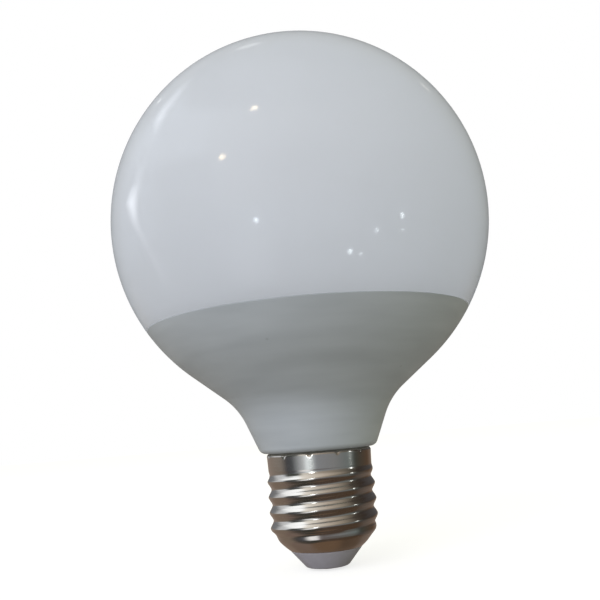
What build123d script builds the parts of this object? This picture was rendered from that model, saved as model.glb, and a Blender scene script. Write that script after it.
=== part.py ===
from build123d import *
from math import ceil, cos, pi, radians, sin, sqrt, tan
import os

# A screw-in globe lamp, in millimetres
# The axis is Z: the face of the centre contact lies at zero and the globe stands above it

# The lamp and its globe
overall_length = 132.3
globe_diameter = 95.0

# The joint between globe and housing: an open socket, and the spigot that drops into it
seam_height = 59.2
spigot_depth = 3.0
spigot_end_gap = 0.3
globe_fit = 0.12

# The housing: a bowl that carries on the globe's ball, a concave waist and a tapered neck
bowl_end_angle = 51.4
bowl_run = 13.79
waist_radius = 16.8
neck_length = 11.38
neck_half_angle = 22.7
neck_foot_diameter = 28.2
neck_foot_height = 27.7
neck_foot_round = 1.1
housing_wall = 1.6

# The screw cap: a drawn shell with a right-hand knuckle thread rolled into it
crest_diameter = 26.05
root_diameter = 24.26
thread_pitch = 3.629
levels_per_turn = 6
crest_height_at_left = 20.9
thread_top = 21.3
skirt_height = 23.7
rim_diameter = 25.5
rim_bevel = 0.3
shell_wall = 0.45
cap_fit = 0.08
shoulder_height = 9.5
shoulder_bulge = 0.4
shoulder_levels = 4
throat_diameter = 17.5
throat_height = 4.7
throat_lip = 0.7
plug_height = 8.9

# The punch marks that stake the shell to the neck
stake_count = 12
stake_angle = 19.6
stake_drop = 1.0
stake_width = 1.3
stake_depth = 0.35
stake_tip = 0.2

# The insulator that plugs the shell, and the contact riveted into its tip
tip_diameter = 10.2
tip_height = 0.5
tip_round = 1.0
contact_diameter = 4.8
contact_bevel = 0.3
shank_diameter = 2.0
shank_length = 3.4
shank_fit = 0.05

# Radii and heights that follow from those sizes
globe_radius = globe_diameter / 2
globe_centre = overall_length - globe_radius
thread_radius = (crest_diameter + root_diameter) / 4
thread_half_depth = (crest_diameter - root_diameter) / 4
rim_radius = rim_diameter / 2
bore_radius = root_diameter / 2 - shell_wall
throat_radius = throat_diameter / 2
throat_bore_radius = throat_radius - throat_lip


def ball_radius_at(height):
    """Radius of the globe's ball at a height."""
    return sqrt(globe_radius**2 - (height - globe_centre) ** 2)


socket_floor = seam_height - spigot_depth - spigot_end_gap
socket_radius = ball_radius_at(socket_floor) - housing_wall


def outline(*points):
    """Closed outline through points given as radius and height."""
    return make_face(Polyline(*points, close=True))


def turned(*points):
    """Solid made by turning a closed outline about the axis."""
    return revolve(Plane.XZ * outline(*points), Axis.Z)


def make_globe():
    """Opal globe: a ball cut off at the seam, with a spigot below the cut."""
    ball = Pos(0, 0, globe_centre) * Sphere(globe_radius)
    cut_ball = split(ball, Plane.XY.offset(seam_height), keep=Keep.TOP)
    spigot_seat = Pos(0, 0, seam_height)
    below = (Align.CENTER, Align.CENTER, Align.MAX)
    return cut_ball + spigot_seat * Cylinder(socket_radius - globe_fit, spigot_depth, align=below)


def make_housing():
    """Moulded housing: socket, bowl, waist and neck, with a stem that fills the screw cap.

    The neck and the end of the bowl stand on the foot, up to their sharp corner at the waist.
    The bowl leaves the seam in line with the globe's ball.
    """
    bowl_angle = radians(bowl_end_angle)
    neck_angle = radians(neck_half_angle)
    foot = Vector(neck_foot_diameter / 2, neck_foot_height)
    waist = foot + Vector(tan(neck_angle), 1) * neck_length
    bowl_end = waist + Vector(sin(bowl_angle), cos(bowl_angle)) * bowl_run
    rim = Vector(ball_radius_at(seam_height), seam_height)
    along_ball = Vector(seam_height - globe_centre, -rim.X)
    stem_radius = bore_radius - cap_fit

    bowl = TangentArc(rim, bowl_end, tangent=along_ball)
    rest = Polyline(
        bowl_end,
        waist,
        foot,
        (stem_radius, neck_foot_height),
        (stem_radius, plug_height),
        (0, plug_height),
        (0, socket_floor),
        (socket_radius, socket_floor),
        (socket_radius, seam_height),
        rim,
    )
    section = make_face(Wire([bowl, *rest.edges()]))
    section = fillet(section.vertices().sort_by_distance(waist)[:1], waist_radius)
    section = fillet(section.vertices().sort_by_distance(foot)[:1], neck_foot_round)
    return revolve(Plane.XZ * section, Axis.Z)


def thread_depth_at(height):
    """Half depth of the thread at a height: full along the thread, fading out past both ends."""
    above = (skirt_height - height) / (skirt_height - thread_top)
    below = (height - throat_height) / (shoulder_height - throat_height)
    return thread_half_depth * max(0, min(1, above, below**2))


def shell_level(radius, height):
    """Outline of the shell at a height: a circle that the thread pushes off the axis.

    The push turns once in each pitch, and the thread crests on the side that it points to.
    """
    crest_direction = pi + 2 * pi * (height - crest_height_at_left) / thread_pitch
    push = thread_depth_at(height)
    return Pos(push * cos(crest_direction), push * sin(crest_direction), height) * Circle(radius)


def make_stakes():
    """Ring of four-sided punch points that dent the shell just under its rim."""
    slope = (rim_radius - thread_radius) / (neck_foot_height - skirt_height)
    face_radius = rim_radius - slope * stake_drop
    near = (stake_width - stake_tip) / 2
    far = (stake_width + stake_tip) / 2
    punch = Wedge(stake_width, stake_depth, stake_width, near, near, far, far)
    ring = []
    for number in range(stake_count):
        turn = Rot(0, 0, stake_angle + number * 360 / stake_count)
        place = Pos(face_radius - stake_depth / 2, 0, neck_foot_height - stake_drop)
        ring.append(turn * place * Rot(0, 0, 90) * punch)
    return ring


def make_screw_cap():
    """Screw cap: shoulder, thread and skirt lofted level by level, bored out and staked."""
    shoulder = SagittaArc((throat_radius, throat_height), (thread_radius, shoulder_height), -shoulder_bulge)
    levels = []
    for number in range(shoulder_levels):
        point = shoulder @ (number / shoulder_levels)
        levels.append(shell_level(point.X, point.Y))
    steps = ceil((skirt_height - shoulder_height) / thread_pitch * levels_per_turn)
    for number in range(steps + 1):
        height = shoulder_height + (skirt_height - shoulder_height) * number / steps
        levels.append(shell_level(thread_radius, height))
    levels.append(shell_level(rim_radius, neck_foot_height - rim_bevel))
    levels.append(shell_level(rim_radius - rim_bevel, neck_foot_height))
    cavity = turned(
        (0, throat_height),
        (throat_bore_radius, throat_height),
        (bore_radius, plug_height),
        (bore_radius, neck_foot_height),
        (0, neck_foot_height),
    )
    return loft(levels, ruled=True) - cavity - make_stakes()


def make_insulator():
    """Insulator: a plug moulded into the shell's throat, tapering below it to the tip."""
    tip = Vector(tip_diameter / 2, tip_height)
    hole_radius = shank_diameter / 2 + shank_fit
    hole_end = tip_height + shank_length + shank_fit
    section = outline(
        (hole_radius, tip_height),
        tip,
        (throat_radius, throat_height),
        (throat_bore_radius, throat_height),
        (bore_radius, plug_height),
        (0, plug_height),
        (0, hole_end),
        (hole_radius, hole_end),
    )
    section = fillet(section.vertices().sort_by_distance(tip)[:1], tip_round)
    return revolve(Plane.XZ * section, Axis.Z)


def make_contact():
    """Centre contact: a rivet with a bevelled flat head under the insulator's tip."""
    return turned(
        (0, 0),
        (contact_diameter / 2 - contact_bevel, 0),
        (contact_diameter / 2, contact_bevel),
        (contact_diameter / 2, tip_height),
        (shank_diameter / 2, tip_height),
        (shank_diameter / 2, tip_height + shank_length),
        (0, tip_height + shank_length),
    )


pieces = {
    "globe_diffuser": make_globe(),
    "housing": make_housing(),
    "screw_cap": make_screw_cap(),
    "cap_insulator": make_insulator(),
    "centre_contact": make_contact(),
}

os.makedirs("parts", exist_ok=True)
for name, piece in pieces.items():
    export_step(piece, f"parts/{name}.step")
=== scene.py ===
# %% [markdown]
# # A screw-in globe lamp
# The lamp has five pieces: an opal globe, a grey-white housing, a nickel-plated screw cap, a grey
# insulator and a centre contact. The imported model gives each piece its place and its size. This
# lesson turns the pieces again as finer meshes, gives each one the finish of its real material, and
# lights them so that the gloss of the globe and the metal read as they do in the photograph.

# %% Load the fixed frame
import math

import bmesh
import bpy
import numpy as np
from mathutils import Matrix, Vector


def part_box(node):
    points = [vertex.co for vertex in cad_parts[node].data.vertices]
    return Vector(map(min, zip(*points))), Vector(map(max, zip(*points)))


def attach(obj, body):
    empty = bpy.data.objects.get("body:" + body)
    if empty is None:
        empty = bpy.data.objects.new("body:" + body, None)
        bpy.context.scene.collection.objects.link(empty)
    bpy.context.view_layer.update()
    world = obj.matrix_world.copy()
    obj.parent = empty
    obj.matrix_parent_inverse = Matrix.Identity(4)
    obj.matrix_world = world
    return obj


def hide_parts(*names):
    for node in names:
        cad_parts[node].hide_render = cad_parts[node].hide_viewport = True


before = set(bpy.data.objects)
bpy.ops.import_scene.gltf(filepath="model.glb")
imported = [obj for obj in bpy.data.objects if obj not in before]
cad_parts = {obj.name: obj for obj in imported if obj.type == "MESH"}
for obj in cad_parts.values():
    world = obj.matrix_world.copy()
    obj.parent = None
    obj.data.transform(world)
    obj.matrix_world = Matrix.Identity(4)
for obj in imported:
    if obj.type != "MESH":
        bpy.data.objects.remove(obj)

MM = 0.001
scene = bpy.context.scene
scene.view_settings.view_transform = "Standard"
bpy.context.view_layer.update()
print("pieces in the frame:", ", ".join(sorted(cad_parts)))

# %% [markdown]
# ## The camera
# The view looks up at the lamp from a little below its middle. A camera could be placed by eye, but
# here the seam, the outline of the ball and the spacing of the thread fix it: they give the distance,
# the tilt and the focal length. The focal length is measured in pixels of the 600-pixel image, and the
# sensor's width turns it into millimetres.

# %% Camera
image_pixels = 600
focal_pixels = 748
camera_place = Vector((0, -187.3, 31.9)) * MM
camera_aim = Vector((-1.52, 0, 65.27)) * MM
camera_roll = math.radians(-4.69)

camera_data = bpy.data.cameras.new("view")
camera_data.sensor_width = 36
camera_data.lens = camera_data.sensor_width * focal_pixels / image_pixels
camera_data.clip_start = 10 * MM
camera = bpy.data.objects.new("view", camera_data)
camera_turn = (camera_aim - camera_place).to_track_quat("-Z", "Y").to_matrix()
camera_turn = camera_turn @ Matrix.Rotation(camera_roll, 3, "Z")
camera.matrix_world = Matrix.Translation(camera_place) @ camera_turn.to_4x4()
scene.collection.objects.link(camera)
scene.camera = camera
print(f"camera with a lens of {camera_data.lens:.1f} mm")


def sight(pixel):
    """Direction from the camera through a pixel of the image."""
    across = (pixel[0] - image_pixels / 2) / focal_pixels
    up = (image_pixels / 2 - pixel[1]) / focal_pixels
    return (camera_turn @ Vector((across, up, -1))).normalized()


# %% [markdown]
# ## Outlines to turn
# Four of the five pieces are round about one axis, so each is an outline in radius and height that is
# turned about that axis. Real moulded edges are never sharp: a thin bright or dark line follows each of
# them. A helper therefore swaps every corner of an outline for a small arc before it is turned. The
# same could be done with a bevel modifier, but an outline keeps the exact size of each round.


# %% Helpers for outlines
def arc_points(centre_height, radius, start_degrees, end_degrees, count):
    """Points on an arc about a centre on the axis, as radius, height and corner round."""
    points = []
    for angle in np.radians(np.linspace(start_degrees, end_degrees, count)):
        points.append((radius * math.cos(angle), centre_height + radius * math.sin(angle), 0))
    return points


def rounded(corners, steps=7):
    """Outline through corners given as radius, height and corner round, with each round as an arc."""
    outline = []
    for number, (x, y, size) in enumerate(corners):
        corner = Vector((x, y))
        if not size:
            outline.append(corner)
            continue
        before = (Vector(corners[number - 1][:2]) - corner).normalized()
        after = (Vector(corners[number + 1][:2]) - corner).normalized()
        half = before.angle(after) / 2
        middle = corner + (before + after).normalized() * size / math.sin(half)
        start = corner + before * size / math.tan(half) - middle
        end = corner + after * size / math.tan(half) - middle
        sweep = -start.angle_signed(end)
        for step in range(steps + 1):
            outline.append(middle + Matrix.Rotation(sweep * step / steps, 2) @ start)
    return outline


def level_points(radii, angles, height):
    """Points round the axis in metres, from a height and from one radius for each angle in millimetres."""
    return [(r * MM * math.cos(a), r * MM * math.sin(a), height * MM) for r, a in zip(radii, angles)]


def piece_from_grid(name, rows, close_rows):
    """Mesh piece from rows of points round the axis; a row of one point is a pole."""
    points = [point for row in rows for point in row]
    firsts = np.cumsum([0] + [len(row) for row in rows])
    faces = []
    last = len(rows) if close_rows else len(rows) - 1
    for lower in range(last):
        upper = (lower + 1) % len(rows)
        columns = max(len(rows[lower]), len(rows[upper]))
        for column in range(columns):
            beside = (column + 1) % columns
            corners = []
            for row, spot in ((lower, column), (lower, beside), (upper, beside), (upper, column)):
                vertex = int(firsts[row]) + spot % len(rows[row])
                if vertex not in corners:
                    corners.append(vertex)
            faces.append(corners)
    mesh = bpy.data.meshes.new(name)
    mesh.from_pydata(points, [], faces)
    shell = bmesh.new()
    shell.from_mesh(mesh)
    bmesh.ops.recalc_face_normals(shell, faces=shell.faces)
    shell.to_mesh(mesh)
    shell.free()
    mesh.shade_smooth()
    piece = bpy.data.objects.new(name, mesh)
    scene.collection.objects.link(piece)
    print(f"{name}: {len(faces)} faces")
    return piece


def turn(name, outline, columns):
    """Piece made by turning an outline in millimetres, from axis to axis, about the axis."""
    angles = np.linspace(0, 2 * math.pi, columns, endpoint=False)
    rows = []
    for radius, height in outline:
        columns_here = columns if radius else 1
        rows.append(level_points([radius] * columns_here, angles, height))
    return piece_from_grid(name, rows, close_rows=False)


def stand_for(piece, node):
    """Puts a piece in place of its plain node, on the lamp's one body."""
    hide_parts(node)
    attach(piece, "root")


# %% [markdown]
# ## The opal globe
# The globe is a moulded ball of milky plastic, cut off at the seam, with a spigot below the cut that
# drops into the housing. A ball primitive would leave a hard cut edge and no spigot, so the whole
# outline is turned: pole, ball, a seam edge with a tiny round, spigot.

# %% Opal globe
globe_low, globe_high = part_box("globe_diffuser")
globe_radius = min(globe_high.x, globe_high.y, -globe_low.x, -globe_low.y) / MM
globe_top = globe_high.z / MM
globe_centre = globe_top - globe_radius
seam_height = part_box("housing")[1].z / MM
seam_round = 0.1
spigot_foot = globe_low.z / MM
spigot_radius = 36.0
spigot_round = 0.3
ball_steps = 110
ball_columns = 256
seam_drop = globe_centre - seam_height
seam_angle = math.degrees(math.asin(seam_drop / globe_radius))
seam_radius = math.sqrt(globe_radius**2 - seam_drop**2)

globe_outline = arc_points(globe_centre, globe_radius, 90, -seam_angle, ball_steps)
globe_outline[0] = (0, globe_top, 0)
globe_outline[-1] = (seam_radius, seam_height, seam_round)
globe_outline += [
    (spigot_radius, seam_height, 0),
    (spigot_radius, spigot_foot, spigot_round),
    (0, spigot_foot, 0),
]
opal_globe = turn("opal_globe", rounded(globe_outline), ball_columns)
stand_for(opal_globe, "globe_diffuser")
print(f"ball of {2 * globe_radius:.1f} mm, seam {seam_drop:.1f} mm below its middle")

# %% [markdown]
# ## The housing
# The housing carries on the ball's curve below the seam, runs straight for a short way, turns through
# a hollow waist and ends in a tapered neck with a soft lower edge. The waist is a corner with a round
# of nearly 17 mm, so the same helper that rounds the edges makes it.

# %% Housing
bowl_end_angle = 51.4
bowl_steps = 40
waist_round = 16.8
waist_steps = 24
neck_length = 11.38
neck_half_angle = 22.7
neck_foot_radius = 14.1
neck_foot_round = 1.9
stem_radius = 11.6
socket_depth = 3.3
socket_round = 0.2
globe_fit = 0.12
socket_radius = spigot_radius + globe_fit

stem_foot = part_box("housing")[0].z / MM
neck_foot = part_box("screw_cap")[1].z / MM
waist_radius = neck_foot_radius + neck_length * math.tan(math.radians(neck_half_angle))
waist_height = neck_foot + neck_length
socket_floor = seam_height - socket_depth

bowl_outline = arc_points(globe_centre, globe_radius, -seam_angle, -bowl_end_angle, bowl_steps)
bowl_outline[0] = (seam_radius, seam_height, seam_round)
housing_outline = [
    (0, socket_floor, 0),
    (socket_radius, socket_floor, socket_round),
    (socket_radius, seam_height, 0),
    *bowl_outline,
    (waist_radius, waist_height, waist_round),
    (neck_foot_radius, neck_foot, neck_foot_round),
    (stem_radius, neck_foot, 0),
    (stem_radius, stem_foot, 0),
    (0, stem_foot, 0),
]
moulded_housing = turn("moulded_housing", rounded(housing_outline, waist_steps), ball_columns)
stand_for(moulded_housing, "housing")

# %% [markdown]
# ## The screw cap
# The cap is drawn from thin sheet, and its thread is rolled into it between two wheels. The thread's
# section is given by its slope on the way from crest to root: short rounds at both ends, a flank of
# about 28 degrees between them, and a steeper fold half-way down the flank. The fold mirrors another
# part of the room than the flank does, which draws a fine dark line along each turn. A screw modifier
# could spin that section, but the thread fades out at both ends and the rim is dented by punch marks,
# so each point of the wall is worked out by a formula instead: a plain radius, plus the thread, minus
# the dents.

# %% The thread and the dents as formulas
crest_radius = 13.025
thread_pitch = 3.629
slope_places = (0, 0.17, 0.4, 0.5, 0.6, 0.8, 1)
slope_degrees = (0, 27.5, 28.5, 37, 28.5, 27, 0)
slope_steps = 100
crest_height_at_left = 20.9
thread_top = 21.3
skirt_height = 23.7
rim_radius = 12.75
shoulder_height = 9.5
throat_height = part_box("screw_cap")[0].z / MM

# The drop below the crest is the slope added up, from the crest at 0 to the root at 1
crest_to_root = np.linspace(0, 1, slope_steps + 1)
slopes = np.interp(crest_to_root, slope_places, np.tan(np.radians(slope_degrees)))
steps_down = (slopes[1:] + slopes[:-1]) / 2 * thread_pitch / 2 / slope_steps
drops = np.concatenate(([0], np.cumsum(steps_down)))
thread_radius = crest_radius - drops[-1] / 2

# A notch that is more than full keeps a small flat floor at the rim
stake_count = 12
stake_angle = math.radians(19.6)
stake_length = 1.5
stake_width = 1.6
stake_depth = 0.35
stake_fullness = 1.3


def thread_push(angles, height):
    """How far the thread pushes the wall out, or in where negative, round one level."""
    above = (skirt_height - height) / (skirt_height - thread_top)
    below = (height - throat_height) / (shoulder_height - throat_height)
    fade = max(0, min(1, above, below**2))
    turns = (angles - math.pi) / (2 * math.pi) - (height - crest_height_at_left) / thread_pitch
    from_crest = np.abs(turns - np.round(turns)) * 2
    return fade * (crest_radius - np.interp(from_crest, crest_to_root, drops) - thread_radius)


def stake_dent(angles, height):
    """Depth of the punch marks round one level."""
    spacing = 2 * math.pi / stake_count
    turn_in_spacing = (angles - stake_angle) / spacing
    across = np.abs(turn_in_spacing - np.round(turn_in_spacing)) * spacing * rim_radius
    to_point = 1 - (neck_foot - height) / stake_length
    return stake_depth * np.clip(stake_fullness * to_point - across / (stake_width / 2), 0, 1)


print(f"thread of {thread_pitch} mm pitch and {drops[-1]:.2f} mm depth")

# %% [markdown]
# The wall's levels run from the rim down the skirt and the thread to the throat, then back up inside.
# The levels are close together where the form is fine, 0.07 mm on the thread, and wide apart on the
# plain bore.

# %% Screw cap
cap_columns = 320
rim_round = 0.8
rim_steps = 14
skirt_step = 0.1
thread_step = 0.07
shoulder_bulge = 0.4
shoulder_steps = 30
throat_radius = 8.75
throat_bore_radius = 8.05
bore_radius = 11.68
plug_height = 8.9
sharp_edge_angle = math.radians(50)


def shoulder_outline(count):
    """Bulged shoulder from the thread down to the throat, as radius and height."""
    start = Vector((thread_radius, shoulder_height))
    end = Vector((throat_radius, throat_height))
    outwards = Vector((start.y - end.y, end.x - start.x)).normalized()
    points = []
    for share in np.linspace(0, 1, count)[1:]:
        points.append(start.lerp(end, share) + outwards * 4 * shoulder_bulge * share * (1 - share))
    return points


cap_outline = []
rim_middle = Vector((rim_radius - rim_round, neck_foot - rim_round))
for angle in np.radians(np.linspace(90, 0, rim_steps)):
    cap_outline.append(rim_middle + Vector((math.cos(angle), math.sin(angle))) * rim_round)
for height in np.arange(rim_middle.y - skirt_step, skirt_height, -skirt_step):
    share = (rim_middle.y - height) / (rim_middle.y - skirt_height)
    cap_outline.append(Vector((rim_radius + (thread_radius - rim_radius) * share, height)))
for height in np.arange(skirt_height, shoulder_height, -thread_step):
    cap_outline.append(Vector((thread_radius, height)))
cap_outline.append(Vector((thread_radius, shoulder_height)))
cap_outline += shoulder_outline(shoulder_steps)

cap_angles = np.linspace(0, 2 * math.pi, cap_columns, endpoint=False)
cap_rows = []
for radius, height in cap_outline:
    wall_radii = radius + thread_push(cap_angles, height) - stake_dent(cap_angles, height)
    cap_rows.append(level_points(wall_radii, cap_angles, height))
for radius, height in (
    (throat_bore_radius, throat_height),
    (bore_radius, plug_height),
    (bore_radius, neck_foot),
):
    cap_rows.append(level_points([radius] * cap_columns, cap_angles, height))
nickel_cap = piece_from_grid("nickel_cap", cap_rows, close_rows=True)
nickel_cap.data.set_sharp_from_angle(angle=sharp_edge_angle)
stand_for(nickel_cap, "screw_cap")

# %% [markdown]
# ## The insulator and the centre contact
# The insulator is a plug moulded into the cap's throat. Below the throat it tapers to a blunt tip, and
# a rivet through the tip is the centre contact. Both are small turned outlines with rounded edges.

# %% Insulator and contact
tip_radius = 5.1
tip_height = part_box("cap_insulator")[0].z / MM
tip_round = 1.0
tip_columns = 192
throat_round = 0.15
contact_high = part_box("centre_contact")[1]
contact_radius = contact_high.x / MM
contact_top = contact_high.z / MM
contact_bevel = 0.3
contact_face_round = 0.15
contact_edge_round = 0.08
contact_columns = 96
shank_radius = 1.0
shank_fit = 0.05

insulator_outline = [
    (0, contact_top + shank_fit, 0),
    (shank_radius + shank_fit, contact_top + shank_fit, 0),
    (shank_radius + shank_fit, tip_height, 0),
    (tip_radius, tip_height, tip_round),
    (throat_radius, throat_height, throat_round),
    (throat_bore_radius, throat_height, 0),
    (bore_radius, plug_height, 0),
    (0, plug_height, 0),
]
moulded_insulator = turn("moulded_insulator", rounded(insulator_outline), tip_columns)
stand_for(moulded_insulator, "cap_insulator")

contact_outline = [
    (0, 0, 0),
    (contact_radius - contact_bevel, 0, contact_face_round),
    (contact_radius, contact_bevel, contact_edge_round),
    (contact_radius, tip_height, 0),
    (shank_radius, tip_height, 0),
    (shank_radius, contact_top, 0),
    (0, contact_top, 0),
]
riveted_contact = turn("riveted_contact", rounded(contact_outline), contact_columns)
stand_for(riveted_contact, "centre_contact")

# %% [markdown]
# ## Colours and nodes
# A colour is written as the hex value that a paint program shows, and one function turns it into the
# linear light that a shader works with. One more function adds a node, sets it and links it, so each
# finish below reads as a list of what its surface has.


# %% Helpers for finishes
def linear(hex_colour):
    """Linear red, green, blue and alpha of an sRGB hex colour."""
    parts = [int(hex_colour[first:first + 2], 16) / 255 for first in (0, 2, 4)]
    return tuple(p / 12.92 if p <= 0.04045 else ((p + 0.055) / 1.055) ** 2.4 for p in parts) + (1,)


def add_node(finish, kind, inputs=None, stops=None, **settings):
    """Node with its settings, its inputs set to values or linked to outputs, and a ramp's colour stops."""
    tree = finish.node_tree
    node = tree.nodes.new(kind)
    for name, value in settings.items():
        setattr(node, name, value)
    for socket, value in (inputs or {}).items():
        if isinstance(value, bpy.types.NodeSocket):
            tree.links.new(value, node.inputs[socket])
        else:
            node.inputs[socket].default_value = value
    if stops:
        elements = node.color_ramp.elements
        elements.remove(elements[1])
        for number, (position, colour) in enumerate(stops.items()):
            element = elements.new(position) if number else elements[0]
            element.position = position
            element.color = linear(colour)
    return node


def new_finish(name):
    """Empty material to build a finish in."""
    finish = bpy.data.materials.new(name)
    finish.use_nodes = True
    finish.node_tree.nodes.clear()
    return finish


def cover(finish, shader, *pieces):
    """Ends a finish with its shader and puts it on pieces, after the finishes that they have."""
    add_node(finish, "ShaderNodeOutputMaterial", {"Surface": shader.outputs[0]})
    for piece in pieces:
        piece.data.materials.append(finish)
    print("finish:", finish.name)


# %% [markdown]
# ## Opal polycarbonate
# The globe is polycarbonate filled with fine white grains and moulded against a polished steel face.
# Most of the light that meets the thin wall goes through it, wanders about inside the ball and comes
# out again anywhere, so the ball has hardly any shaded side. Subsurface scattering would treat the ball
# as full, and would darken it near the seam. A translucent shader treats the surface as the thin wall
# that it is. The polished face still mirrors small lamps as sharp points, with a low roughness and the
# plastic's own refractive index, and a very slight unevenness keeps it from looking like glass. Seen at
# a steep slant it mirrors more and lets less light through, so a layer weight sets the share of both.

# %% Opal polycarbonate
cloud_size = 45 * MM
peel_size = 6 * MM
peel_height = 0.2 * MM

opal = new_finish("opal polycarbonate, moulded and polished")
globe_point = add_node(opal, "ShaderNodeTexCoord")
clouds = add_node(opal, "ShaderNodeTexNoise", {
    "Vector": globe_point.outputs["Object"], "Scale": 1 / cloud_size, "Detail": 2,
})
milk = add_node(opal, "ShaderNodeValToRGB", {
    "Fac": clouds.outputs["Fac"],
}, stops={0.3: "DCDFE3", 0.7: "E0E3E7"})
peel = add_node(opal, "ShaderNodeTexNoise", {
    "Vector": globe_point.outputs["Object"], "Scale": 1 / peel_size, "Detail": 1,
})
uneven = add_node(opal, "ShaderNodeBump", {
    "Height": peel.outputs["Fac"], "Strength": 0.01, "Distance": peel_height,
})
polished_face = add_node(opal, "ShaderNodeBsdfPrincipled", {
    "Base Color": milk.outputs["Color"],
    "Roughness": 0.08,
    "IOR": 1.585,
    "Specular IOR Level": 0.5,
    "Normal": uneven.outputs["Normal"],
})
through = add_node(opal, "ShaderNodeBsdfTranslucent", {"Color": milk.outputs["Color"]})
slant = add_node(opal, "ShaderNodeLayerWeight", {"Blend": 0.5})
let_through = add_node(opal, "ShaderNodeMapRange", {
    "Value": slant.outputs["Facing"], "From Min": 0.55, "From Max": 1, "To Min": 0.62, "To Max": 0.25,
}, interpolation_type="SMOOTHSTEP")
opal_wall = add_node(opal, "ShaderNodeMixShader", {
    0: let_through.outputs["Result"], 1: polished_face.outputs[0], 2: through.outputs[0],
})
cover(opal, opal_wall, opal_globe)

# %% [markdown]
# The ball's underside lies on the lamp's light board, which is lacquered white to send all light upwards.
# Nobody sees it, but it brightens the ball just above the seam, so the hidden faces get that lacquer.

# %% White lacquer under the globe
dust_size = 2 * MM

lacquer = new_finish("white lacquer, sprayed on the light board")
board_point = add_node(lacquer, "ShaderNodeTexCoord")
dust = add_node(lacquer, "ShaderNodeTexNoise", {
    "Vector": board_point.outputs["Object"], "Scale": 1 / dust_size, "Detail": 2,
})
board_white = add_node(lacquer, "ShaderNodeValToRGB", {
    "Fac": dust.outputs["Fac"],
}, stops={0: "F2F2F0", 1: "F6F6F4"})
lacquer_shader = add_node(lacquer, "ShaderNodeBsdfPrincipled", {
    "Base Color": board_white.outputs["Color"], "Roughness": 0.6,
})
cover(lacquer, lacquer_shader, opal_globe)
for polygon in opal_globe.data.polygons:
    if polygon.center.z < (seam_height - seam_round) * MM:
        polygon.material_index = 1

# %% [markdown]
# ## Satin moulded housing
# The housing is a harder grey-white plastic, PBT, moulded against a finely etched face, so it has a
# soft sheen and no mirror. Faint rings run round it below the seam, where the melt cooled in the mould,
# and two tiny dark specks lie in its surface. Noise that is stretched round the axis gives the rings.

# %% Satin moulded housing
ring_height = 3.5 * MM
ring_stretch = (0.15, 0.15, 1)
speck_pixels = ((267, 339), (401, 366))
speck_core = 0.15 * MM
speck_edge = 0.45 * MM
# The real etch is finer than a tenth of a millimetre, and is drawn coarser so that it shows
etch_size = 0.5 * MM
etch_depth = 0.05 * MM

satin = new_finish("PBT, moulded with a satin face")
housing_point = add_node(satin, "ShaderNodeTexCoord")
round_housing = add_node(satin, "ShaderNodeMapping", {
    "Vector": housing_point.outputs["Object"], "Scale": ring_stretch,
})
rings = add_node(satin, "ShaderNodeTexNoise", {
    "Vector": round_housing.outputs["Vector"], "Scale": 1 / ring_height, "Detail": 2,
})
tint = add_node(satin, "ShaderNodeValToRGB", {
    "Fac": rings.outputs["Fac"],
}, stops={0.3: "AFB5BA", 0.7: "BBC1C6"})
bpy.context.view_layer.update()
specked = tint.outputs["Color"]
for pixel in speck_pixels:
    speck_place = moulded_housing.ray_cast(camera_place, sight(pixel))[1]
    off_speck = add_node(satin, "ShaderNodeVectorMath", {
        0: housing_point.outputs["Object"], 1: speck_place,
    }, operation="DISTANCE")
    on_speck = add_node(satin, "ShaderNodeMapRange", {
        "Value": off_speck.outputs["Value"],
        "From Min": speck_core, "From Max": speck_edge, "To Min": 0.2, "To Max": 0,
    })
    speck = add_node(satin, "ShaderNodeMix", {
        0: on_speck.outputs["Result"], 6: specked, 7: linear("5A5C5C"),
    }, data_type="RGBA")
    specked = speck.outputs[2]
etch = add_node(satin, "ShaderNodeTexNoise", {
    "Vector": housing_point.outputs["Object"], "Scale": 1 / etch_size, "Detail": 2,
})
grain = add_node(satin, "ShaderNodeBump", {
    "Height": etch.outputs["Fac"], "Strength": 0.08, "Distance": etch_depth,
})
satin_shader = add_node(satin, "ShaderNodeBsdfPrincipled", {
    "Base Color": specked,
    "Roughness": 0.45,
    "IOR": 1.55,
    "Normal": grain.outputs["Normal"],
})
cover(satin, satin_shader, moulded_housing)

# %% [markdown]
# ## Bright nickel plate
# The cap and the contact are plated with nickel, a warm white metal. The plate is bright but thin, so
# it keeps fine marks that run round the cap from rolling and from being screwed in. They dull the
# mirror a little and unevenly, and the same stretched noise that gives the housing its rings draws them.

# %% Bright nickel plate
# The real marks are hundredths of a millimetre wide, and are drawn coarser so that they show
mark_height = 0.4 * MM
mark_depth = 0.05 * MM
mark_stretch = (0.08, 0.08, 1)

nickel = new_finish("nickel plate on a rolled shell")
cap_point = add_node(nickel, "ShaderNodeTexCoord")
round_cap = add_node(nickel, "ShaderNodeMapping", {
    "Vector": cap_point.outputs["Object"], "Scale": mark_stretch,
})
marks = add_node(nickel, "ShaderNodeTexNoise", {
    "Vector": round_cap.outputs["Vector"], "Scale": 1 / mark_height, "Detail": 3,
})
dulling = add_node(nickel, "ShaderNodeMapRange", {
    "Value": marks.outputs["Fac"], "From Min": 0.3, "From Max": 0.7, "To Min": 0.13, "To Max": 0.19,
})
lines = add_node(nickel, "ShaderNodeBump", {
    "Height": marks.outputs["Fac"], "Strength": 0.008, "Distance": mark_depth,
})
nickel_shader = add_node(nickel, "ShaderNodeBsdfPrincipled", {
    "Base Color": linear("CFC8BE"),
    "Metallic": 1,
    "Roughness": dulling.outputs["Result"],
    "Normal": lines.outputs["Normal"],
})
cover(nickel, nickel_shader, nickel_cap, riveted_contact)

# %% [markdown]
# ## Grey insulator
# The insulator is polyamide, moulded without a polished face. That makes it matt, with a slight mottle
# where the filler in the plastic came to the surface.

# %% Grey insulator
mottle_size = 1.5 * MM

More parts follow.
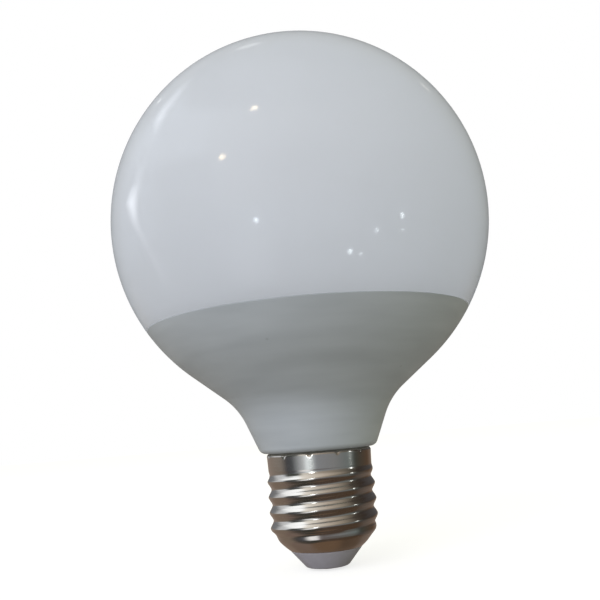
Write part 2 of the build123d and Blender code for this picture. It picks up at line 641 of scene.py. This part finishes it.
plug = new_finish("grey polyamide, moulded matt")
plug_point = add_node(plug, "ShaderNodeTexCoord")
mottle = add_node(plug, "ShaderNodeTexNoise", {
    "Vector": plug_point.outputs["Object"], "Scale": 1 / mottle_size, "Detail": 3,
})
grey = add_node(plug, "ShaderNodeValToRGB", {
    "Fac": mottle.outputs["Fac"],
}, stops={0.3: "A5A2A9", 0.7: "AAA7AF"})
plug_shader = add_node(plug, "ShaderNodeBsdfPrincipled", {
    "Base Color": grey.outputs["Color"], "Roughness": 0.5, "IOR": 1.5,
})
cover(plug, plug_shader, moulded_insulator)

# %% [markdown]
# ## Floor and background
# The lamp stands over a plain white floor against white. The floor is an ordinary matt surface that
# takes the lamp's shadow, with a little glow added for the camera and for reflections only, so that it
# runs into the white background without lighting the lamp any more.

# %% Floor and background
floor_gap = 0.05 * MM
floor_reach = 3.0
floor_glow = 0.75


def seen_directly(finish):
    """1 where the camera, the gloss or the translucent wall looks, and 0 for light on the lamp."""
    ray = add_node(finish, "ShaderNodeLightPath")
    seen = ray.outputs["Is Camera Ray"]
    for kind in ("Is Glossy Ray", "Is Transmission Ray"):
        either = add_node(finish, "ShaderNodeMath", {0: seen, 1: ray.outputs[kind]}, operation="MAXIMUM")
        seen = either.outputs[0]
    return seen


floor_corners = [(x * floor_reach, y * floor_reach, 0) for x, y in ((-1, -1), (1, -1), (1, 1), (-1, 1))]
floor_mesh = bpy.data.meshes.new("pale_floor")
floor_mesh.from_pydata(floor_corners, [], [(0, 1, 2, 3)])
floor = bpy.data.objects.new("pale_floor", floor_mesh)
floor.location.z = -floor_gap
floor.visible_glossy = False
floor.visible_shadow = False
scene.collection.objects.link(floor)

paper = new_finish("white paper, matt")
lift = add_node(paper, "ShaderNodeMath", {0: seen_directly(paper), 1: floor_glow}, operation="MULTIPLY")
matt = add_node(paper, "ShaderNodeBsdfDiffuse", {"Color": linear("A8A8A8")})
glow = add_node(paper, "ShaderNodeEmission", {"Color": linear("FFFFFF"), "Strength": lift.outputs[0]})
matt_and_glow = add_node(paper, "ShaderNodeAddShader", {0: matt.outputs[0], 1: glow.outputs[0]})
cover(paper, matt_and_glow, floor)

world = bpy.data.worlds.new("white studio")
world.use_nodes = True
world.node_tree.nodes.clear()
scene.world = world
ambient = add_node(world, "ShaderNodeBackground", {"Color": linear("FFFFE6"), "Strength": 0.73})
backdrop = add_node(world, "ShaderNodeBackground", {"Color": linear("FFFFFF"), "Strength": 1})
studio = add_node(world, "ShaderNodeMixShader", {
    0: seen_directly(world), 1: ambient.outputs[0], 2: backdrop.outputs[0],
})
add_node(world, "ShaderNodeOutputWorld", {"Surface": studio.outputs[0]})
print("white floor and background")

# %% [markdown]
# ## Lights
# A ball mirrors almost the whole room, so each bright point on the globe tells where one lamp was: the
# sight line through that pixel is reflected where it meets the ball. On the cap every crest repeats the
# lamps, in spots too large for such small lamps to make, so the cap has two larger ones of its own. Each
# of these lamps is linked to the piece that shows it. A large soft light from the front left gives the
# even light, and is kept out of reflections, because the ball shows no large bright panel.


# %% Helpers for lights
globe_middle = Vector((0, 0, globe_centre * MM))


def mirrored(pixel):
    """Where the ball is at a pixel of the image, and the direction that it mirrors there."""
    line = sight(pixel)
    from_middle = camera_place - globe_middle
    along = line.dot(from_middle)
    beyond = math.sqrt(along**2 - from_middle.length_squared + (globe_radius * MM) ** 2)
    on_ball = from_middle + line * (-along - beyond)
    return globe_middle + on_ball, line.reflect(on_ball.normalized())


def bearing(azimuth, elevation):
    """Direction by its angle to the right of the camera's side and its angle above the level."""
    azimuth = math.radians(azimuth)
    elevation = math.radians(elevation)
    level = math.cos(elevation)
    return Vector((math.sin(azimuth) * level, -math.cos(azimuth) * level, math.sin(elevation)))


def add_light(name, start, away, distance, size, brightness, colour):
    """Soft light in a direction from a point; at a brightness of 1 it would look just white."""
    lamp = bpy.data.lights.new(name, "AREA")
    lamp.shape = "ELLIPSE" if size[0] == size[1] else "RECTANGLE"
    lamp.size, lamp.size_y = size
    area = size[0] * size[1] * (math.pi / 4 if lamp.shape == "ELLIPSE" else 1)
    lamp.energy = brightness * math.pi * area
    lamp.color = linear(colour)[:3]
    light = bpy.data.objects.new(name, lamp)
    light.location = start + away * distance
    light.rotation_euler = (-away).to_track_quat("-Z", "Y").to_euler()
    light.visible_camera = False
    scene.collection.objects.link(light)
    print(f"light: {name}")
    return light


def show_in_gloss_of(piece, light):
    """Lets a light show as a highlight on one piece, and light nothing."""
    light.visible_diffuse = False
    light.visible_transmission = False
    shown_by = bpy.data.collections.new(light.name)
    shown_by.objects.link(piece)
    light.light_linking.receiver_collection = shown_by


# %% Lights
soft_front = add_light("soft_front", globe_middle, bearing(-30, 22), 1.4, (1.2, 1.2), 3.75, "EBEBFF")
soft_front.visible_glossy = False

# Each lamp on the globe: the pixel that shows it, its width in metres, its brightness and its colour
lamp_distance = 1.5
globe_lamps = {
    "warm_lamp_high": ((254.3, 108), 0.085, 30, "FFE9C4"),
    "warm_lamp_low": ((222, 157), 0.085, 30, "FFE3B4"),
    "cool_lamp": ((256, 220), 0.07, 28, "EAF4FF"),
    "right_lamp_high": ((402.5, 215), 0.065, 30, "F2FAFF"),
    "right_lamp_near": ((350, 251.5), 0.065, 30, "F0FAFF"),
    "right_lamp_small": ((377, 230), 0.055, 20, "F2FAFF"),
    "right_lamp_faint": ((403, 229.5), 0.05, 11, "F2FAFF"),
    "right_lamp_low": ((361, 253.5), 0.05, 14, "F2FAFF"),
    "edge_lamp": ((159, 101), 0.05, 1.6, "FFFFFF"),
    "back_lamp": ((425, 87), 0.08, 1.2, "FFF4E8"),
    "top_lamp": ((248, 46), 0.16, 1, "FFFFFF"),
}
for name, (pixel, width, brightness, colour) in globe_lamps.items():
    point, away = mirrored(pixel)
    globe_lamp = add_light(name, point, away, lamp_distance, (width, width), brightness, colour)
    show_in_gloss_of(opal_globe, globe_lamp)

# Each lamp on the cap: its azimuth, its width and height in metres, its brightness and its colour
cap_lamp_elevation = 2
cap_lamps = {
    "cool_lamp_on_cap": (-19, (0.18, 0.35), 7, "EAF4FF"),
    "right_lamp_on_cap": (71, (0.08, 0.4), 6, "F0FAFF"),
}
for name, (azimuth, size, brightness, colour) in cap_lamps.items():
    away = bearing(azimuth, cap_lamp_elevation)
    cap_lamp = add_light(name, globe_middle, away, lamp_distance, size, brightness, colour)
    show_in_gloss_of(nickel_cap, cap_lamp)

# %% [markdown]
# ## What the gloss mirrors
# Between the lamps the gloss mirrors the room: a brown table, a pale wall at the left, a dim ceiling and
# a dark side on the right. White studio walls would turn the edges of the ball and the whole cap white,
# so a tent in the room's colours stands round the lamp. Only reflections see it. Its colour comes from
# rings round the lamp, from the floor up to the ceiling, and each ring passes into the next one over a
# few degrees. A gradient that runs round the axis gives the place on a ring, from the back over the
# left, the camera's side and the right to the back again.

# %% Reflection tent
tent_radius = 2.0


def show_in_gloss_only(surroundings):
    """Makes surroundings of the lamp that only reflections see."""
    surroundings.visible_camera = False
    surroundings.visible_diffuse = False
    surroundings.visible_transmission = False
    surroundings.visible_shadow = False
    scene.collection.objects.link(surroundings)


tent_mesh = bpy.data.meshes.new("reflection_tent")
tent_ball = bmesh.new()
bmesh.ops.create_uvsphere(tent_ball, u_segments=64, v_segments=32, radius=tent_radius)
tent_ball.to_mesh(tent_mesh)
tent_ball.free()
tent = bpy.data.objects.new("reflection_tent", tent_mesh)
tent.location = globe_middle
show_in_gloss_only(tent)

room = new_finish("room colours seen in the gloss")
tent_point = add_node(room, "ShaderNodeTexCoord")
axes = add_node(room, "ShaderNodeSeparateXYZ", {"Vector": tent_point.outputs["Object"]})
quarter_turn = add_node(room, "ShaderNodeMapping", {
    "Vector": tent_point.outputs["Object"], "Rotation": (0, 0, math.pi / 2),
})
around = add_node(room, "ShaderNodeTexGradient", {
    "Vector": quarter_turn.outputs["Vector"],
}, gradient_type="RADIAL")


def ring(colours, strength):
    """Light from colours round the room, each at its angle to the right of the camera's side."""
    stops = {azimuth / 360 + 0.5: colour for azimuth, colour in colours.items()}
    ramp = add_node(room, "ShaderNodeValToRGB", {"Fac": around.outputs["Fac"]}, stops)
    return add_node(room, "ShaderNodeEmission", {"Color": ramp.outputs["Color"], "Strength": strength})


def rise(low, high, start, end):
    """Goes from one light to another between two angles above the level."""
    share = add_node(room, "ShaderNodeMapRange", {
        "Value": axes.outputs["Z"],
        "From Min": math.sin(math.radians(start)) * tent_radius,
        "From Max": math.sin(math.radians(end)) * tent_radius,
    }, interpolation_type="SMOOTHSTEP")
    return add_node(room, "ShaderNodeMixShader", {
        0: share.outputs["Result"], 1: low.outputs[0], 2: high.outputs[0],
    })


floor_below = ring({0: "766150"}, 1)
floor_edge = ring({
    -180: "746458", -110: "867670", -78: "504C48", -45: "3F403D",
    0: "584C45", 100: "564639", 180: "746458",
}, 1)
low_table = ring({
    -180: "78695F", -100: "756A62", -78: "454343", -56: "464850", -40: "F4F8FF", -24: "ECF0FA",
    -14: "625C5E", 68: "5C6060", 90: "403F3F", 180: "78695F",
}, 1.4)
table = ring({
    -180: "857870", -93: "736E6A", -76: "42444A", -62: "484C52", -36: "A8B0BA", -27: "E0EEFA",
    -18: "B4C0CA", -8: "7C828C", 30: "787C82", 68: "606A6D", 84: "3B3D3A", 130: "4F4034", 180: "857870",
}, 1.5)
low_wall = ring({
    -180: "58585C", -134: "7C8086", -116: "C8CED8", -92: "D0D8E4", -80: "4A4E4A", -52: "404644",
    -40: "DCDCDA", -8: "A49C94", 65: "5C5A54", 90: "352F2C", 180: "58585C",
}, 1.3)
wall = ring({
    -180: "505054", -134: "767A80", -116: "D8E0EA", -62: "ECF4FF", -48: "CACAC9",
    10: "9E9790", 40: "827C74", 80: "3A3632", 120: "2A231F", 180: "505054",
}, 1.9)
wall_top = ring({
    -180: "646466", -140: "70747A", -105: "C0C2C4", -70: "86827C",
    0: "6C635A", 90: "46423C", 180: "646466",
}, 1)
ceiling = ring({-180: "707072", -100: "A0A0A2", 30: "98989A", 110: "505052", 180: "707072"}, 1)

whole_room = floor_below
for next_ring, start, end in (
    (floor_edge, -80, -66),
    (low_table, -48, -38),
    (table, -26, -14),
    (low_wall, -6, 4),
    (wall, 24, 34),
    (wall_top, 50, 56),
    (ceiling, 58, 75),
):
    whole_room = rise(whole_room, next_ring, start, end)
cover(room, whole_room, tent)
room.cycles.emission_sampling = "NONE"

# %% [markdown]
# A tall window stands at the left, far behind the ball's edge. The ball squeezes it into a curved streak
# that swells at one place and fades out at both ends. One flat panel gives a streak of one width, so the
# window is a strip of points instead, each row of which is aimed at a pixel of the streak. Its glow is
# stored on the points: full along the middle and nothing along both sides, which keeps the sides soft.
# The aim holds for the ball alone, so the strip is linked to the globe and the cap doesn't show it.

# %% Window streak
# Each row: the pixel at the middle of the streak, half its width in pixels, and its glow
window_rows = [
    ((194, 77), 4, 0),
    ((184, 87), 5, 1.0),
    ((171, 102), 6, 1.6),
    ((161, 117), 6, 3.2),
    ((152, 138), 5, 0.6),
    ((144, 163), 5, 0.5),
    ((138, 184), 6, 2.5),
    ((132, 203), 7, 8),
    ((135, 223), 5, 3),
    ((143, 238), 4, 1.0),
    ((154, 256), 6, 1.0),
    ((163, 276), 8, 0.7),
    ((174, 296), 8, 0),
]
window_points = []
window_glow = []
for (across, down), half_width, row_glow in window_rows:
    for side in (-1, 0, 1):
        point, away = mirrored((across + side * half_width, down))
        window_points.append(point + away * lamp_distance)
        window_glow.append(0 if side else row_glow)
window_faces = []
for row in range(len(window_rows) - 1):
    for first in (3 * row, 3 * row + 1):
        window_faces.append((first, first + 1, first + 4, first + 3))
window_mesh = bpy.data.meshes.new("window_streak")
window_mesh.from_pydata(window_points, [], window_faces)
window_mesh.attributes.new("glow", "FLOAT", "POINT").data.foreach_set("value", window_glow)
window = bpy.data.objects.new("window_streak", window_mesh)
show_in_gloss_only(window)
show_in_gloss_of(opal_globe, window)

daylight = new_finish("daylight in the window")
stored_glow = add_node(daylight, "ShaderNodeAttribute", attribute_name="glow")
pane = add_node(daylight, "ShaderNodeEmission", {
    "Color": linear("F4F8FF"), "Strength": stored_glow.outputs["Fac"],
})
see_past = add_node(daylight, "ShaderNodeBsdfTransparent")
pane_and_room = add_node(daylight, "ShaderNodeAddShader", {0: pane.outputs[0], 1: see_past.outputs[0]})
cover(daylight, pane_and_room, window)
daylight.cycles.emission_sampling = "NONE"
